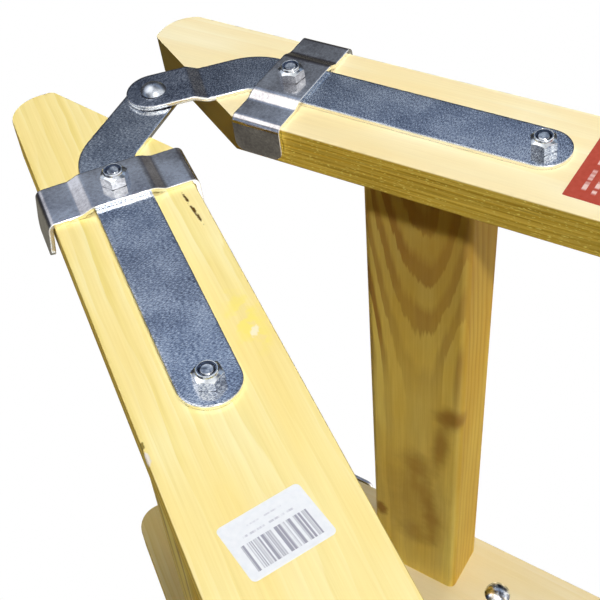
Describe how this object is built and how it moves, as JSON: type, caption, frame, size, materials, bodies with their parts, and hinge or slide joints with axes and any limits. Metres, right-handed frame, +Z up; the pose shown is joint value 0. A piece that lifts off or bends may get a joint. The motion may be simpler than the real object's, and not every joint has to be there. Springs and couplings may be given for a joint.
{
  "type": "wooden double stepladder",
  "caption": "Free-standing wooden double stepladder: two flared ladder sections hinged at the top by bolted steel straps and held open by folding stays.",
  "frame": {"origin": "middle of the four feet, on the floor", "axes": "+Z up, X across the ladder along the hinge axis, Y along the spread with the rear section at +Y"},
  "size_m": [0.6252, 1.091, 1.4287],
  "materials": {
    "stile_wood": "clear lacquered softwood",
    "rung_wood": "clear lacquered softwood",
    "strap_zinc": "zinc plated",
    "saddle_zinc": "zinc plated",
    "stay_zinc": "zinc plated",
    "fastener_zinc": "bright zinc plated",
    "insert_nylon": "moulded nylon",
    "label_white": "coated paper",
    "label_red": "coated paper"
  },
  "bodies": {
    "front_section": {"front_left_hinge_leaf": "strap_zinc", "front_left_saddle": "saddle_zinc", "front_left_stile": "stile_wood", "front_lock_nuts": "fastener_zinc", "front_nut_inserts": "insert_nylon", "front_right_hinge_leaf": "strap_zinc", "front_right_saddle": "saddle_zinc", "front_right_stile": "stile_wood", "front_rung_1": "rung_wood", "front_rung_2": "rung_wood", "front_rung_3": "rung_wood", "front_rung_4": "rung_wood", "front_rung_5": "rung_wood", "front_saddle_bolts": "fastener_zinc", "front_stay_bushes": "fastener_zinc", "front_stay_screws": "fastener_zinc", "front_strap_bolts": "fastener_zinc", "left_hinge_rivet": "fastener_zinc", "right_hinge_rivet": "fastener_zinc"},
    "rear_section": {"rear_left_hinge_leaf": "strap_zinc", "rear_left_saddle": "saddle_zinc", "rear_left_stile": "stile_wood", "rear_lock_nuts": "fastener_zinc", "rear_nut_inserts": "insert_nylon", "rear_right_hinge_leaf": "strap_zinc", "rear_right_saddle": "saddle_zinc", "rear_right_stile": "stile_wood", "rear_rung_1": "rung_wood", "rear_rung_2": "rung_wood", "rear_rung_3": "rung_wood", "rear_rung_4": "rung_wood", "rear_rung_5": "rung_wood", "rear_saddle_bolts": "fastener_zinc", "rear_stay_bushes": "fastener_zinc", "rear_stay_screws": "fastener_zinc", "rear_strap_bolts": "fastener_zinc"},
    "left_front_stay": {"left_front_knee_rivet_half": "fastener_zinc", "left_front_stay_bar": "stay_zinc"},
    "left_rear_stay": {"left_rear_knee_rivet_half": "fastener_zinc", "left_rear_stay_bar": "stay_zinc"},
    "right_front_stay": {"right_front_knee_rivet_half": "fastener_zinc", "right_front_stay_bar": "stay_zinc"},
    "right_rear_stay": {"right_rear_knee_rivet_half": "fastener_zinc", "right_rear_stay_bar": "stay_zinc"}
  },
  "joints": [
    {"name": "fold", "type": "hinge", "parent": "front_section", "child": "rear_section", "pos_m": [0, 0, 1.37493], "axis": [-1, 0, 0], "range_deg": [0, 37.2]},
    {"name": "left_front_stay_swing", "type": "hinge", "parent": "front_section", "child": "left_front_stay", "pos_m": [0, -0.19141, 0.84849], "axis": [-1, 0, 0], "range_deg": [0, 104.56]},
    {"name": "left_rear_stay_swing", "type": "hinge", "parent": "rear_section", "child": "left_rear_stay", "pos_m": [0, 0.19141, 0.84849], "axis": [1, 0, 0], "range_deg": [0, 104.56]},
    {"name": "right_front_stay_swing", "type": "hinge", "parent": "front_section", "child": "right_front_stay", "pos_m": [0, -0.19141, 0.84849], "axis": [-1, 0, 0], "range_deg": [0, 104.56]},
    {"name": "right_rear_stay_swing", "type": "hinge", "parent": "rear_section", "child": "right_rear_stay", "pos_m": [0, 0.19141, 0.84849], "axis": [1, 0, 0], "range_deg": [0, 104.56]}
  ],
  "couplings": [
    {"joint": "left_front_stay_swing", "follows": "fold", "ratio": 2.8106},
    {"joint": "left_rear_stay_swing", "follows": "fold", "ratio": 2.8106},
    {"joint": "right_front_stay_swing", "follows": "fold", "ratio": 2.8106},
    {"joint": "right_rear_stay_swing", "follows": "fold", "ratio": 2.8106}
  ]
}
